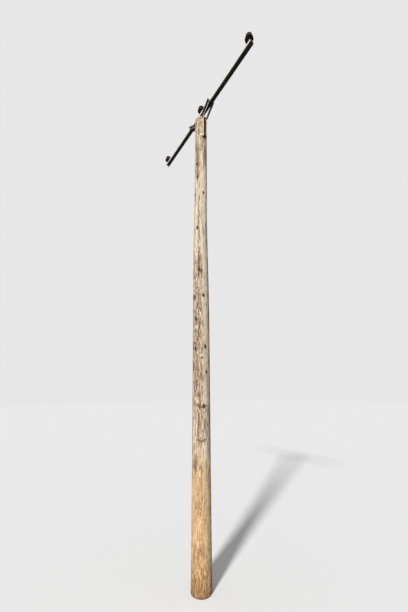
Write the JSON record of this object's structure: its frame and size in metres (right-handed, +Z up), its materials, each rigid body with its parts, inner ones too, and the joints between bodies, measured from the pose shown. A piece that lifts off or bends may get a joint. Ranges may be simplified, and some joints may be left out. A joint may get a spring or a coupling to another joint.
{
  "type": "wooden utility pole",
  "caption": "Round wooden line pole with a flat top, carrying a steel channel crossarm on brackets and angle struts, with brown porcelain pin insulators.",
  "frame": {"origin": "centre of the log at ground level, on its bottom face", "axes": "+Z up along the log, +X along the crossarm to its right end, -Y the front"},
  "size_m": [3.005, 0.2589, 7.704],
  "materials": {
    "log": "weathered, greyed pine with long drying checks and knots",
    "channel_steel": "weathered hot-dip galvanising, dull",
    "strut_steel": "weathered galvanising with brown staining",
    "saddle_steel": "weathered galvanising",
    "bolt_steel": "galvanising stained dark brown by rust",
    "pin_steel": "weathered galvanising with rust staining",
    "brown_porcelain": "dark brown glazed porcelain"
  },
  "bodies": {
    "root": {"wooden_pole": "log", "crossarm": "channel_steel", "right_bracket": "channel_steel", "left_bracket": "channel_steel", "right_front_strut": "strut_steel", "right_back_strut": "strut_steel", "left_front_strut": "strut_steel", "left_back_strut": "strut_steel", "right_upper_saddle": "saddle_steel", "left_upper_saddle": "saddle_steel", "upper_pole_bolt": "bolt_steel", "upper_pole_bolt_nut": "bolt_steel", "upper_pole_bolt_washers": "saddle_steel", "right_lower_saddle": "saddle_steel", "left_lower_saddle": "saddle_steel", "lower_pole_bolt": "bolt_steel", "lower_pole_bolt_nut": "bolt_steel", "lower_pole_bolt_washers": "saddle_steel", "right_arm_bolt": "bolt_steel", "right_arm_bolt_nut": "bolt_steel", "right_arm_bolt_washers": "bolt_steel", "right_bracket_bolt": "bolt_steel", "right_bracket_bolt_nut": "bolt_steel", "right_bracket_bolt_washers": "bolt_steel", "left_arm_bolt": "bolt_steel", "left_arm_bolt_nut": "bolt_steel", "left_arm_bolt_washers": "bolt_steel", "left_bracket_bolt": "bolt_steel", "left_bracket_bolt_nut": "bolt_steel", "left_bracket_bolt_washers": "bolt_steel", "right_insulator_pin": "pin_steel", "right_insulator": "brown_porcelain", "right_pin_washer": "pin_steel", "right_pin_nut": "pin_steel", "middle_insulator_pin": "pin_steel", "middle_insulator": "brown_porcelain", "middle_pin_washer": "pin_steel", "middle_pin_nut": "pin_steel", "left_insulator_pin": "pin_steel", "left_insulator": "brown_porcelain", "left_pin_washer": "pin_steel", "left_pin_nut": "pin_steel"}
  },
  "joints": []
}
